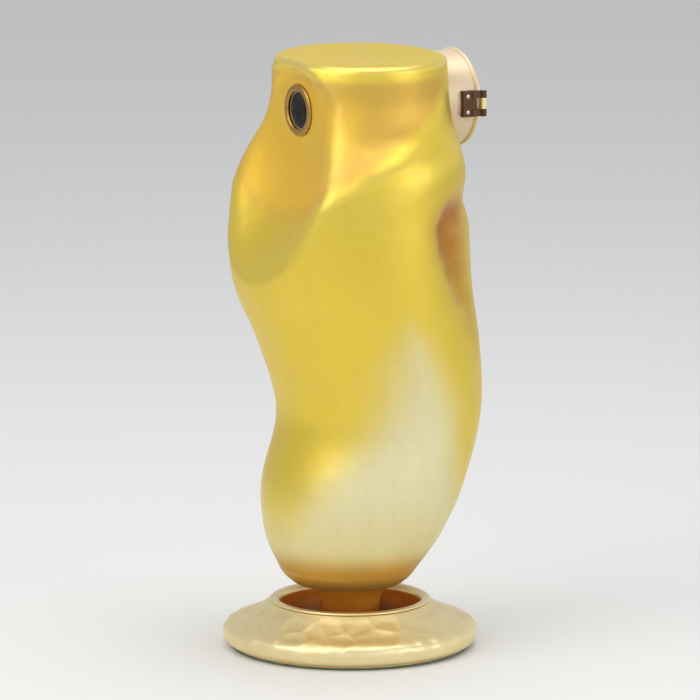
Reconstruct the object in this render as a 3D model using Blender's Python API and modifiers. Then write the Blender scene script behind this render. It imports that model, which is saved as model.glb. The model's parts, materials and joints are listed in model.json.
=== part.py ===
"""A free-form gilt monstrance: a round foot, a hollow leaning body, a front window and a rear port.

The origin is the centre of the foot's underside. +Z is up, the window faces -Y, +X is a viewer's right.
Lengths below are millimetres; MM turns them into Blender's metres.
"""
import math

import bmesh
import bpy
from mathutils import Matrix, Vector

MM = 0.001
GAP = 0.3                      # running or soldering gap between neighbouring pieces
SIDES = 32                     # facets of the body, foot and port
HEAD_SIDES = 20                # facets of the window and luna
SMALL_SIDES = 12               # facets of a pin, screw or knuckle

# ---- driving dimensions -------------------------------------------------------------------------------
FOOT_R = 167.5                 # outermost radius of the foot
FELT_TOP = 1.5
PLATE = (FELT_TOP + GAP, 4.8)  # base plate, bottom and top
PLATE_R = 156.0
SCREW_CIRCLE_R = 128.0
SHELL = 1.0                    # wall of the raised body
RING_WALL = 1.5                # wall of the spun foot
WELL_WALL = 1.3
WELL_FLOOR = 19.8              # upper face of the well's floor
BODY_FLOOR = 84.0              # underside of the body
SEAM_Z = 405.0                 # where the two halves of the body meet
HEAD_Z = 720.0                 # height of the window, luna and port axis
SEAT_Y = -77.0                 # flat seat round the window
SEAT_R = 42.0
LUNA_CASE_Y = (-45.0, -37.5)   # front and back of the luna's fixed ring
NECK_R = 62.0
NECK_BACK = 160.0              # where the door closes on the port's neck
DOOR_Y = (160.3, 163.3)
ROD_R = 3.0
ROD_X = 22.0
ROD_Z = 655.0
REAR_BRACKET_Y = (92.0, 95.0)

STEM_Y = sum(LUNA_CASE_Y) / 2
DOOR_HINGE = (69.0, 161.8)     # x and y of the rear door's upright pin
LUNA_HINGE = (36.9, -37.35)    # x and y of the luna's upright pin

PORT = {"axis": "Y", "centre": (0, 0, HEAD_Z)}    # pieces turned about the head's level axis
HEAD = {**PORT, "sides": HEAD_SIDES}

# height, centre line (y), half depth and half width of the body
BODY_SECTIONS = (
    (105, -3, 90, 91), (150, 4, 115, 118), (215, 18, 131, 139), (310, 43, 132, 143), (400, 29, 142, 156),
    (490, 3, 154, 166), (600, -4, 154, 166), (650, -2, 142, 158), (700, 7, 123, 137), (780, 16, 110, 121),
)
# height and share of the nearest full section, where the body closes under and over
FLOOR_RINGS = ((84, 0.10), (84, 0.73), (85.5, 0.775), (90, 0.85), (97, 0.935))
CROWN_RINGS = ((783, 0.985), (785.2, 0.95), (786, 0.88), (785.6, 0.6), (784.6, 0.3))
CROWN_POLE = 784.2
# bearing from the front (degrees), height, spread of both, and how far the skin moves out
SWELLS = (
    (78, 715, 20, 32, -7),     # hollow temple
    (116, 658, 28, 30, 9),     # cheek
    (118, 584, 16, 17, -6),    # valley under the cheek
    (124, 520, 11, 48, -8),    # valley down the flank
    (180, 604, 42, 20, -7),    # nape
)
DISH_UP, DISH_DOWN, DISH_SIDE = 0.049, 0.00285, 0.0034   # how fast the front hollow rises, per mm
DISH_BLEND = 20.0

BAND = 12                      # how far the joint ring reaches past the seam, each way
LOWER_LEVELS = (105, 125, 150, 185, 235, 300, 355, SEAM_Z - BAND, SEAM_Z - GAP / 2)
UPPER_LEVELS = (SEAM_Z + GAP / 2, SEAM_Z + BAND, 450, 490, 525, 555, 580, 605, 630, 656, 680, 702,
                HEAD_Z, 738, 752, 765, 775, 780)


# ---- scene and helpers --------------------------------------------------------------------------------
def clear_scene():
    for item in list(bpy.data.objects):
        bpy.data.objects.remove(item, do_unlink=True)


def new_collection(name):
    collection = bpy.data.collections.new(name)
    bpy.context.scene.collection.children.link(collection)
    return collection


clear_scene()
PARTS = new_collection("monstrance")
CUTTERS = new_collection("cutters")


def finish(name, colour, metallic, roughness):
    material = bpy.data.materials.new(name)
    material.use_nodes = True
    shader = material.node_tree.nodes["Principled BSDF"]
    shader.inputs["Base Color"].default_value = (*colour, 1.0)
    shader.inputs["Metallic"].default_value = metallic
    shader.inputs["Roughness"].default_value = roughness
    return material


GOLD = finish("rich_gold", (0.86, 0.62, 0.12), 1.0, 0.30)
PALE_GOLD = finish("pale_gold", (0.88, 0.76, 0.48), 1.0, 0.35)
EMBER = finish("ember_lacquer", (0.45, 0.13, 0.03), 0.6, 0.35)
CREAM = finish("cream_satin", (0.90, 0.82, 0.72), 0.2, 0.45)
BRASS = finish("bare_brass", (0.72, 0.56, 0.28), 1.0, 0.40)
STEEL = finish("bright_steel", (0.62, 0.62, 0.64), 1.0, 0.35)
BRONZE = finish("dark_bronze", (0.16, 0.10, 0.06), 1.0, 0.45)
IRON = finish("ballast_iron", (0.10, 0.10, 0.11), 0.8, 0.65)
SILVER = finish("silver_gilt", (0.93, 0.84, 0.62), 1.0, 0.22)
CRYSTAL = finish("crystal", (0.92, 0.95, 0.95), 0.0, 0.05)
FELT = finish("green_felt", (0.07, 0.16, 0.10), 0.0, 0.95)


def add_piece(name, mesh, material):
    piece = bpy.data.objects.new(name, mesh)
    PARTS.objects.link(piece)
    if material is not None:
        mesh.materials.append(material)
    return piece


def place(piece, axis, centre):
    """Stand a piece made along its own +Z on the given world axis, through centre (mm)."""
    turns = {"Z": (0, 0, 0), "Y": (-math.pi / 2, 0, 0), "X": (0, math.pi / 2, 0)}
    piece.rotation_euler = turns[axis]
    piece.location = Vector(centre) * MM
    return piece


def turned(name, profile, material, axis="Z", centre=(0, 0, 0), wall=0.0, sides=SIDES):
    """Turn (radius, height) points that run down the outside; a wall makes a shell of an open profile."""
    mesh = bpy.data.meshes.new(name)
    points = [(r * MM, 0, h * MM) for r, h in profile]
    edges = [(i, i + 1) for i in range(len(points) - 1)]
    if not wall and profile[0][0] > 0:
        edges.append((len(points) - 1, 0))
    mesh.from_pydata(points, edges, [])
    piece = place(add_piece(name, mesh, material), axis, centre)
    screw = piece.modifiers.new("turn", "SCREW")
    screw.angle = 2 * math.pi
    screw.steps = screw.render_steps = sides
    screw.use_merge_vertices = True
    screw.merge_threshold = 0.00001
    if wall:
        add_wall(piece, wall)
    return piece


def ring(name, outer, inner, low, high, material, **where):
    return turned(name, [(outer, high), (outer, low), (inner, low), (inner, high)], material, **where)


def cylinder(name, radius, low, high, material, axis="Z", centre=(0, 0, 0), sides=SIDES):
    mesh = bpy.data.meshes.new(name)
    shape = bmesh.new()
    bmesh.ops.create_cone(shape, cap_ends=True, segments=sides, radius1=radius * MM, radius2=radius * MM,
                          depth=(high - low) * MM, matrix=Matrix.Translation((0, 0, (low + high) / 2 * MM)))
    shape.to_mesh(mesh)
    shape.free()
    mesh.shade_smooth()
    mesh.set_sharp_from_angle(angle=math.radians(40))
    return place(add_piece(name, mesh, material), axis, centre)


def block(name, low, high, material, round_mm=0.0):
    mesh = bpy.data.meshes.new(name)
    shape = bmesh.new()
    bmesh.ops.create_cube(shape, size=1.0)
    size = [(b - a) * MM for a, b in zip(low, high)]
    bmesh.ops.scale(shape, vec=size, verts=shape.verts)
    shape.to_mesh(mesh)
    shape.free()
    piece = add_piece(name, mesh, material)
    piece.location = [(a + b) / 2 * MM for a, b in zip(low, high)]
    if round_mm:
        bevel = piece.modifiers.new("round", "BEVEL")
        bevel.width = round_mm * MM
        bevel.segments = 2
    return piece


def add_wall(piece, thickness):
    wall = piece.modifiers.new("wall", "SOLIDIFY")
    wall.thickness = thickness * MM
    wall.offset = -1
    wall.use_even_offset = True


def helper(piece):
    """Put a cutter or a shape that is joined onto another in the cutters' collection."""
    PARTS.objects.unlink(piece)
    CUTTERS.objects.link(piece)
    piece.hide_render = True
    piece.display_type = "WIRE"
    return piece


def boolean(piece, operation, others):
    for other in others:
        modifier = piece.modifiers.new(operation.lower(), "BOOLEAN")
        modifier.operation = operation
        modifier.solver = "EXACT"
        modifier.object = helper(other)
    return piece


def cut(piece, *others):
    return boolean(piece, "DIFFERENCE", others)


def join(piece, *others):
    return boolean(piece, "UNION", others)


def hang(axis_name, origin, *pieces):
    """Parent moving pieces to an empty that sits on their joint's axis (mm)."""
    empty = bpy.data.objects.new(axis_name, None)
    PARTS.objects.link(empty)
    empty.location = Vector(origin) * MM
    for piece in pieces:
        piece.parent = empty
        piece.matrix_parent_inverse = Matrix.Translation(-empty.location)
    return empty


# ---- the free-form body -------------------------------------------------------------------------------
def section(z):
    """Centre line, half depth and half width at a height, on a smooth curve through the sections."""
    rows = BODY_SECTIONS
    z = min(max(z, rows[0][0]), rows[-1][0])
    i = max(k for k in range(len(rows) - 1) if rows[k][0] <= z)
    low, high = rows[i], rows[i + 1]
    before, after = rows[max(i - 1, 0)], rows[min(i + 2, len(rows) - 1)]
    span = high[0] - low[0]
    t = (z - low[0]) / span
    values = []
    for k in (1, 2, 3):
        slope_low = (high[k] - before[k]) / (high[0] - before[0]) * span
        slope_high = (after[k] - low[k]) / (after[0] - low[0]) * span
        values.append((2 * t ** 3 - 3 * t ** 2 + 1) * low[k] + (t ** 3 - 2 * t ** 2 + t) * slope_low
                      + (3 * t ** 2 - 2 * t ** 3) * high[k] + (t ** 3 - t ** 2) * slope_high)
    return values


def swell(bearing, z):
    """How far the named bumps and hollows move the skin out, the same on both flanks."""
    side = abs((bearing + 180) % 360 - 180)
    return sum(amount * math.exp(-((side - at) / wide) ** 2 / 2 - ((z - height) / tall) ** 2 / 2)
               for at, height, wide, tall, amount in SWELLS)


def dish(x, y, z):
    """Press the hollow round the window into the front; its floor is flat near the window."""
    away = math.hypot(x, z - HEAD_Z)
    rise = 0.0
    if away > SEAT_R:
        upright = DISH_UP if z > HEAD_Z else DISH_DOWN
        rate = upright * ((z - HEAD_Z) / away) ** 2 + DISH_SIDE * (x / away) ** 2
        rise = rate * (away - SEAT_R) ** 2
    floor_y = SEAT_Y - rise
    overlap = max(DISH_BLEND - abs(y - floor_y), 0) / DISH_BLEND
    return max(y, floor_y) + overlap ** 2 * DISH_BLEND / 4


def body_ring(z, share=1.0):
    centre_y, half_depth, half_width = section(z)
    points = []
    for k in range(SIDES):
        bearing = 360 * k / SIDES
        angle = math.radians(bearing)
        push = swell(bearing, z) * share
        x = (half_width * share + push) * math.sin(angle)
        y = centre_y - (half_depth * share + push) * math.cos(angle)
        points.append((x, dish(x, y, z), z))
    return points


def loft(rings, pole=None):
    """Skin a stack of equal rings from the bottom up, and close the top on a pole if there is one."""
    shape = bmesh.new()
    rows = [[shape.verts.new(Vector(p) * MM) for p in points] for points in rings]
    for lower, upper in zip(rows, rows[1:]):
        for k in range(SIDES):
            n = (k + 1) % SIDES
            shape.faces.new((lower[k], lower[n], upper[n], upper[k]))
    if pole is not None:
        tip = shape.verts.new(Vector(pole) * MM)
        for k in range(SIDES):
            shape.faces.new((rows[-1][k], rows[-1][(k + 1) % SIDES], tip))
    return shape


def lofted_piece(name, rings, material, wall, pole=None, inset=0.0):
    shape = loft(rings, pole)
    shape.normal_update()
    for vert, normal in [(v, v.normal.copy()) for v in shape.verts]:
        vert.co -= normal * inset * MM
    mesh = bpy.data.meshes.new(name)
    shape.to_mesh(mesh)
    shape.free()
    mesh.shade_smooth()
    piece = add_piece(name, mesh, material)
    add_wall(piece, wall)
    return piece


def make_body():
    lowest = BODY_SECTIONS[0][0]
    floor_rings = [[(x, y, z) for x, y, _ in body_ring(lowest, share)] for z, share in FLOOR_RINGS]
    lofted_piece("lower_body", floor_rings + [body_ring(z) for z in LOWER_LEVELS], GOLD, SHELL)

    band = [body_ring(z) for z in (SEAM_Z - BAND, SEAM_Z, SEAM_Z + BAND)]
    lofted_piece("joint_ring", band, BRASS, wall=2.0, inset=SHELL + 2 * GAP)

    highest = BODY_SECTIONS[-1][0]
    crown = [[(x, y, z) for x, y, _ in body_ring(highest, share)] for z, share in CROWN_RINGS]
    upper = lofted_piece("upper_body", [body_ring(z) for z in UPPER_LEVELS] + crown, GOLD, SHELL,
                         pole=(0, section(highest)[0], CROWN_POLE))
    cut(upper,
        cylinder("cut_window", 29.0, -105, -60, None, **HEAD),
        cylinder("cut_port", NECK_R + GAP, 90, 150, None, **PORT))


# ---- the foot -----------------------------------------------------------------------------------------
def make_foot():
    cylinder("felt_pad", PLATE_R + 2, 0, FELT_TOP, FELT)
    turned("foot_ring", [
        (96.5, 55), (98.2, 59.5), (101, 61), (105, 59.6), (118, 50), (140, 38.5), (159, 31.8), (165.5, 27),
        (FOOT_R, 21), (165.8, 11.5), (160, 5.1), (146, 5.1)],
        PALE_GOLD, wall=RING_WALL)
    turned("foot_well", [
        (6.5, WELL_FLOOR), (77, WELL_FLOOR), (87, 25.5), (92, 43), (93, 57), (96, 63), (101.5, 64.2),
        (106, 61.9)], EMBER, wall=WELL_WALL)

    plate = cylinder("base_plate", PLATE_R, *PLATE, BRASS)
    ballast = ring("ballast_ring", 150, 108, 6.9, 16, IRON)
    for k in range(4):
        angle = math.radians(45 + 90 * k)
        spot = (SCREW_CIRCLE_R * math.cos(angle), SCREW_CIRCLE_R * math.sin(angle), 0)
        where = {"centre": spot, "sides": SMALL_SIDES}
        cut(plate, turned(f"cut_plate_{k}", [(0, 6), (2.7, 6), (2.7, 3.8), (5, 3.8), (5, 1), (0, 1)],
                          None, **where))
        cut(ballast, cylinder(f"cut_ballast_{k}", 2.7, 5, 21, None, **where))
        turned(f"base_screw_{k + 1}", [(0, 14), (2.4, 14), (2.4, 3.5), (4.6, 3.5), (4.6, 1.9), (0, 1.9)],
               STEEL, **where)


def make_stem():
    turned("stem", [
        (57, BODY_FLOOR - GAP), (50, 78), (42, 68), (39, 52), (41, 34), (47, 27), (49, 23.5), (47, 20.1),
        (34, 20.1), (34, BODY_FLOOR - GAP)], EMBER)
    small = {"sides": SMALL_SIDES}
    cylinder("tie_rod", 4.0, 6, 104, STEEL, **small)
    for name, low, high in (("tie_nut", 9.5, 16), ("top_nut", 92.8, 99.5)):
        nut = cylinder(name, 7.5, low, high, STEEL, sides=6)
        cut(nut, cylinder(f"cut_{name}", 4.3, low - 2, high + 2, None, **small))
    ring("tie_washer", 11, 4.3, 16.3, 18.2, STEEL, **small)
    ring("bridge_plate", 50, 4.3, 85.5, 90.5, BRASS, sides=HEAD_SIDES)
    ring("top_washer", 11, 4.3, 90.8, 92.5, STEEL, **small)


# ---- the head: window, rails and carriage ---------------------------------------------------------------


def make_window():
    turned("window_bezel", [
        (28.5, -66), (28.5, -77.6), (34, -77.6), (34, -79), (31, -80.8), (27, -80.8), (25, -79.2),
        (25, -77.6), (27, -77.6), (27, -66)], PALE_GOLD, **HEAD)
    cylinder("window_glass", 26.6, -77.3, -75.3, CRYSTAL, **HEAD)
    ring("glass_retainer", 26.6, 23.5, -75.0, -72.0, BRASS, **HEAD)
    ring("window_ring_nut", 36, 28.9, -72.4, -68.4, BRASS, **HEAD)


def rod_cutters(name, low, high):
    return [cylinder(f"{name}_{side}", ROD_R + GAP, low, high, None, "Y", (side * ROD_X, 0, ROD_Z),
                     SMALL_SIDES) for side in (-1, 1)]


def make_rails():
    front = ring("front_bracket", 40, 29, -75.2, -72.7, BRASS, **HEAD)
    plate = block("front_bracket_plate", (-30, -75.1, 646), (30, -72.8, 700), None)
    join(front, plate)
    cut(front, cylinder("cut_front_bore", 29, -80, -60, None, **HEAD),
        *rod_cutters("cut_front_rod", -80, -60))
    rear = block("rear_bracket", (-32, REAR_BRACKET_Y[0], 646), (32, REAR_BRACKET_Y[1], 672), BRASS)
    cut(rear, *rod_cutters("cut_rear_rod", 85, 100))
    for name, side in (("guide_rod_left", -1), ("guide_rod_right", 1)):
        cylinder(name, ROD_R, -74.9, 94.7, STEEL, "Y", (side * ROD_X, 0, ROD_Z), SMALL_SIDES)

    carriage = block("carriage", (-30, STEM_Y - 15, 649), (30, STEM_Y + 15, 661), BRASS)
    join(carriage, block("carriage_cradle", (-9, STEM_Y - 9, 655), (9, STEM_Y + 9, 680), None))
    cut(carriage, *rod_cutters("cut_carriage_rod", -70, 0),
        cylinder("cut_socket", 4.3, 666, 685, None, "Z", (0, STEM_Y, 0), SMALL_SIDES))
    return carriage


# ---- the luna -------------------------------------------------------------------------------------------
def luna_knuckle(name, low, high, leaf_y):
    """A knuckle round the luna's pin and the leaf that ties it to its ring."""
    x, y = LUNA_HINGE
    return (cylinder(f"{name}_barrel", 2.6, low, high, None, "Z", (x, y, 0), SMALL_SIDES),
            block(f"{name}_leaf", (31.5, leaf_y[0], low + 0.05), (x, leaf_y[1], high - 0.05), None))


def luna_pin_cutter(name):
    return cylinder(name, 1.3, 700, 740, None, "Z", (*LUNA_HINGE, 0), SMALL_SIDES)


def make_luna():
    case = turned("luna_case", [
        (34, -37.5), (34, -43.5), (32, -45), (26, -45), (26, -42.8), (29.3, -42.8), (29.3, -37.5)],
        SILVER, **HEAD)
    join(case,
         turned("luna_stem", [(0, 688), (3.6, 688), (3.6, 683.4), (6.5, 683.4), (6.5, 680.3), (4, 680.3),
                              (4, 666.3), (0, 666.3)], None, "Z", (0, STEM_Y, 0), sides=SMALL_SIDES),
         *luna_knuckle("case_low", 708, 714, (-41.5, -38.0)),
         *luna_knuckle("case_high", 726, 732, (-41.5, -38.0)))
    cut(case, luna_pin_cutter("cut_case_pin"))
    front_glass = cylinder("luna_front_glass", 29.0, -42.5, -40.8, CRYSTAL, **HEAD)

    clip = ring("lunette_clip", 28.9, 25.5, -40.4, -38.0, SILVER, **HEAD)
    cut(clip, block("cut_clip", (-40, -45, HEAD_Z + 4), (40, -30, HEAD_Z + 40), None))

    door = turned("luna_door_ring", [
        (34, -33.8), (34, -37.2), (29.3, -37.2), (29.3, -35.0), (26, -35.0), (26, -32.5), (32, -32.5)],
        SILVER, **HEAD)
    join(door, *luna_knuckle("door_mid", 714.4, 725.6, (-36.9, -34.6)))
    cut(door, luna_pin_cutter("cut_door_pin"))
    rear_glass = cylinder("luna_rear_glass", 29.0, -37.0, -35.3, CRYSTAL, **HEAD)
    pin = cylinder("luna_hinge_pin", 1.0, 707, 733, STEEL, "Z", (*LUNA_HINGE, 0), SMALL_SIDES)
    return (case, front_glass, clip, pin), (door, rear_glass)


# ---- the rear port --------------------------------------------------------------------------------------
def door_barrel(name, low, high):
    return cylinder(name, 4.2, low, high, None, "Z", (*DOOR_HINGE, 0), SMALL_SIDES)


def door_pin_cutter(name):
    return cylinder(name, 2.3, 690, 750, None, "Z", (*DOOR_HINGE, 0), SMALL_SIDES)


def make_port():
    catch = {"axis": "Y", "centre": (-57, 0, HEAD_Z), "sides": SMALL_SIDES}
    neck = turned("port_neck", [
        (NECK_R, NECK_BACK), (64.4, 159.5), (65.5, 157.5), (64.4, 155.3), (NECK_R, 154), (NECK_R, 95.3),
        (59, 95.3), (59, 146), (52, 152), (52, NECK_BACK)], CREAM, **PORT)
    cut(neck, cylinder("cut_magnet", 4.3, 156, 165, None, **catch))
    cylinder("catch_magnet", 4.0, 156.3, 159.9, STEEL, **catch)

    hinge_x, hinge_y = DOOR_HINGE
    leaf = block("neck_hinge_leaf", (50, 132, 703), (hinge_x - 0.4, 151, 737), BRONZE)
    for low, high in ((703, 712.5), (727.5, 737)):
        join(leaf, block(f"leaf_arm_{low}", (66.2, 145, low + 0.1), (69.6, hinge_y, high - 0.1), None),
             door_barrel(f"leaf_barrel_{low}", low, high))
    cut(leaf, cylinder("cut_leaf_neck", NECK_R + GAP, 110, 152, None, **PORT), door_pin_cutter("cut_leaf_pin"))
    cylinder("hinge_pin", 1.9, 701.5, 738.5, STEEL, "Z", (*DOOR_HINGE, 0), SMALL_SIDES)

    door = cylinder("rear_door", 60, *DOOR_Y, PALE_GOLD, **PORT)
    join(door, block("door_tab", (52, DOOR_Y[0] + 0.1, 712.9), (hinge_x, DOOR_Y[1] - 0.1, 727.1), None),
         door_barrel("door_knuckle", 712.8, 727.2))
    cut(door, door_pin_cutter("cut_door_hinge"), cylinder("cut_plate_pocket", 4.3, 155, 161.8, None, **catch))
    catch_plate = cylinder("catch_plate", 4.0, 160.4, 161.5, STEEL, **catch)
    liner = cylinder("door_liner", 50, 155, NECK_BACK, CREAM, **PORT)
    knob = turned("door_knob", [
        (0, 181), (5, 180.4), (8.4, 177.6), (9.2, 174), (7.6, 170.4), (4.2, 168.2), (4.2, 166.2), (7, 165),
        (7, DOOR_Y[1] + GAP), (0, DOOR_Y[1] + GAP)], PALE_GOLD, "Y", (-40, 0, HEAD_Z), sides=HEAD_SIDES)
    return door, catch_plate, liner, knob


def main():
    make_foot()
    make_stem()
    make_body()
    make_window()
    carriage = make_rails()
    luna_pieces, luna_door_pieces = make_luna()
    door_pieces = make_port()
    hang("carriage_axis", (0, STEM_Y, ROD_Z), carriage)
    hang("luna_lift_axis", (0, STEM_Y, HEAD_Z), *luna_pieces)
    hang("luna_door_axis", (*LUNA_HINGE, HEAD_Z), *luna_door_pieces)
    hang("rear_door_axis", (*DOOR_HINGE, HEAD_Z), *door_pieces)


main()
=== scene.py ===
"""The looks of a free-form gilt monstrance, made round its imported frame.

Lengths are millimetres until a piece is finished; MM turns them into Blender's metres.
The window faces -Y, +Z is up, and the head's level axis runs along Y.
"""

import json
import math

import bmesh
import bpy
from mathutils import Matrix, Vector, noise


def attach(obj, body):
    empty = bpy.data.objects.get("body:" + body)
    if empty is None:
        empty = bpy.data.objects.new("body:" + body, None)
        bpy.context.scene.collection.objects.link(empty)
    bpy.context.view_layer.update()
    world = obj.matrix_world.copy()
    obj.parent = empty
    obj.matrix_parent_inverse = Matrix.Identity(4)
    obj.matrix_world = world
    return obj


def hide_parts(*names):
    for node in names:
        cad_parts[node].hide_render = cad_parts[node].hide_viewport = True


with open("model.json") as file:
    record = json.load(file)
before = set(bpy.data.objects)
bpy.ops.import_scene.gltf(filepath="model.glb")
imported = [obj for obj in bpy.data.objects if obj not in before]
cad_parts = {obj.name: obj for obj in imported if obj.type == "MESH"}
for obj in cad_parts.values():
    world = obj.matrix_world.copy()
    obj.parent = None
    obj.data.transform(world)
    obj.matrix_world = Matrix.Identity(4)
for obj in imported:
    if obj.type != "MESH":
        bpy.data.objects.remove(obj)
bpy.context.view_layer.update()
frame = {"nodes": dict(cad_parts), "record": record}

MM = 0.001
HEAD_Z = 720.0
HEAD_AXIS = {"axis": "Y", "centre": (0, 0, HEAD_Z)}

# ---- the body's design ----------------------------------------------------------------------------------
# The sections and the floor and crown paths are the solids' own. The valley, the brow and the dish's lip are
# worked finer here.
# height, centre line (y), half depth and half width of the body
BODY_SECTIONS = (
    (105, -3, 90, 91), (150, 4, 115, 118), (215, 18, 131, 139), (310, 43, 132, 143), (400, 29, 142, 156),
    (490, 3, 154, 166), (600, -4, 154, 166), (650, -2, 142, 158), (700, 7, 123, 137), (780, 16, 110, 121),
)
# the meridian under and over the full sections: height and share of the nearest full section
FLOOR_PATH = ((84, 0.10), (84, 0.4), (84, 0.68), (85.5, 0.775), (90, 0.85), (97, 0.935))
CROWN_PATH = ((783, 0.985), (785.2, 0.95), (786, 0.88), (785.6, 0.6), (784.6, 0.3), (784.2, 0.02))
CROWN_POLE = (0, 16, 784.2)
# bearing from the front (degrees), height, spread of both, and how far the skin moves out
SWELLS = (
    (78, 715, 20, 32, -7),         # hollow temple
    (116, 658, 28, 30, 9),         # full cheek
)
# the valley from the nape round under the cheek and down the flank: bearing, height, share of its depth
VALLEY = ((180, 604, 0.55), (150, 601, 0.6), (130, 597, 0.8), (119, 589, 0.95), (114, 572, 1.0),
          (115, 548, 1.0), (119, 515, 0.9), (124, 480, 0.6), (127, 458, 0.15))
# where the valley's painted shade lies, along the valley and past its end: bearing, height, share
VALLEY_SHADE_ROUTE = ((150, 600, 0.05), (138, 597, 0.3), (127, 592, 0.75), (119, 584, 1.0), (117, 568, 0.95),
          (119, 545, 0.8), (123, 512, 0.66), (128, 474, 0.5), (132, 430, 0.32), (136, 370, 0.05))
VALLEY_DEPTH, VALLEY_REACH, VALLEY_SHADE_REACH = 11.0, 22.0, 34.0
AROUND = 2.65                  # millimetres of skin in one degree of bearing
# the brow: above a line that climbs with the bearing the skin steps in, under it runs a low crest
BROW_START, BROW_CLIMB = 560.0, 1.45
BROW_WIDTH = 52.0
BROW_STEP, BROW_CREST = 3.0, 1.4
CREST_DROP, CREST_WIDTH = 14.0, 11.0
BROW_END, BROW_FADE = 112.0, 30.0      # the bearing where the brow starts to fade, and over how much
# the painted pale reflection on the belly: height, and how far it spreads forwards from its bearing
# (degrees)
PALE_BEARING = 85.0
PALE_SPREAD = ((100, 112), (150, 86), (180, 71), (210, 58), (249, 43), (300, 27), (338, 20), (390, 10),
               (430, 0), (460, -13), (490, -34))
PALE_EDGE = 64.0
PALE_HURRY = 1.3               # how much sooner the belly's tone ends towards the back
# the dish: a flat seat round the window, then a floor that rises with the square of the distance
SEAT_Y = -77.0
SEAT_R = 42.0
DISH_UP, DISH_DOWN, DISH_SIDE = 0.049, 0.00285, 0.0034
DISH_BLEND = 25.0
WINDOW_HOLE, PORT_HOLE = 29.0, 62.3
BODY_AROUND = 208
BODY_RISE = 4.0                # spacing of the body's rings
BODY_WALL, FOOT_WALL, WELL_WALL = 1.0, 1.5, 1.3
WAVER, WAVER_SPACING = 0.22, 17.0      # the hand-raised skin's slight unevenness


# ---- shader maths ---------------------------------------------------------------------------------------
class Value:
    """One shader socket. Arithmetic on it adds Math nodes."""

    def __init__(self, board, socket):
        self.board = board
        self.socket = socket

    def math(self, operation, first, second=0.0):
        return self.board.node("ShaderNodeMath", {"operation": operation}, {0: first, 1: second})

    def __add__(self, other):
        return self.math("ADD", self, other)

    def __sub__(self, other):
        return self.math("SUBTRACT", self, other)

    def __rsub__(self, other):
        return self.math("SUBTRACT", other, self)

    def __mul__(self, other):
        return self.math("MULTIPLY", self, other)

    __radd__ = __add__
    __rmul__ = __mul__

    def between(self, low, high):
        """0 below low, 1 above high, smooth in between."""
        return self.board.node("ShaderNodeMapRange", {"interpolation_type": "SMOOTHSTEP"},
                               {0: self, 1: low, 2: high, 3: 0.0, 4: 1.0})


class Board:
    """A node tree that nodes are added to, one method for every kind."""

    def __init__(self, tree):
        self.tree = tree

    def feed(self, socket, value):
        if isinstance(value, Value):
            self.tree.links.new(value.socket, socket)
        else:
            socket.default_value = value

    def node(self, kind, settings, values, out=0):
        made = self.tree.nodes.new(kind)
        for key, value in settings.items():
            setattr(made, key, value)
        for key, value in values.items():
            self.feed(made.inputs[key], value)
        return Value(self, made.outputs[out])


class Finish(Board):
    """A material with one Principled shader, and the nodes that feed it."""

    def __init__(self, name, colour, roughness, metallic=0.0, **constants):
        self.material = bpy.data.materials.new(name)
        self.material.use_nodes = True
        super().__init__(self.material.node_tree)
        self.shader = self.tree.nodes["Principled BSDF"]
        self.set(base_color=(*colour, 1.0), roughness=roughness, metallic=metallic, **constants)

    def set(self, **inputs):
        """Feed the shader's own sockets, each named in small letters with underscores."""
        for name, value in inputs.items():
            socket = next(s for s in self.shader.inputs if s.name.lower().replace(" ", "_") == name)
            self.feed(socket, value)

    def place(self, stretch=(1, 1, 1)):
        spot = self.node("ShaderNodeTexCoord", {}, {}, "Object")
        return self.node("ShaderNodeMapping", {}, {"Vector": spot, "Scale": stretch})

    def height(self):
        return self.node("ShaderNodeSeparateXYZ", {}, {0: self.place()}, "Z")

    def attribute(self, name):
        return self.node("ShaderNodeAttribute", {"attribute_name": name}, {}, "Fac")

    def clouds(self, scale, detail=3.0, rough=0.55, stretch=(1, 1, 1)):
        values = {"Vector": self.place(stretch), "Scale": scale, "Detail": detail, "Roughness": rough}
        return self.node("ShaderNodeTexNoise", {}, values)

    def cells(self, scale):
        return self.node("ShaderNodeTexVoronoi", {"feature": "SMOOTH_F1"},
                         {"Vector": self.place(), "Scale": scale}, "Distance")

    def mix(self, factor, first, second):
        colours = [c if isinstance(c, Value) else (*c, 1.0) for c in (first, second)]
        values = {0: factor, 6: colours[0], 7: colours[1]}
        return self.node("ShaderNodeMix", {"data_type": "RGBA"}, values, 2)

    def bump(self, height, distance, strength=1.0, under=None):
        values = {"Height": height, "Distance": distance, "Strength": strength}
        if under is not None:
            values["Normal"] = under
        return self.node("ShaderNodeBump", {}, values)


# ---- finishes -------------------------------------------------------------------------------------------
LEMON_GOLD = (0.80, 0.595, 0.07)
# painted shade: the deeper gold above the brow, and its brighter orange inside the dish
BROW_SHADE_GOLD = (0.70, 0.44, 0.078)
DISH_SHADE_GOLD = (0.90, 0.58, 0.065)
# painted reflection: pale gold on the belly
PALE_REFLECTION_GOLD = (0.76, 0.71, 0.43)
# painted shade: brown in the valley
VALLEY_SHADE_BROWN = (0.44, 0.15, 0.02)
# painted reflection and shade: the orange well seen in the bottom of the body
REFLECTED_AMBER = (0.56, 0.29, 0.03)
CHAMPAGNE = (0.90, 0.75, 0.41)
CREAM = (0.71, 0.585, 0.36)


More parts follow.
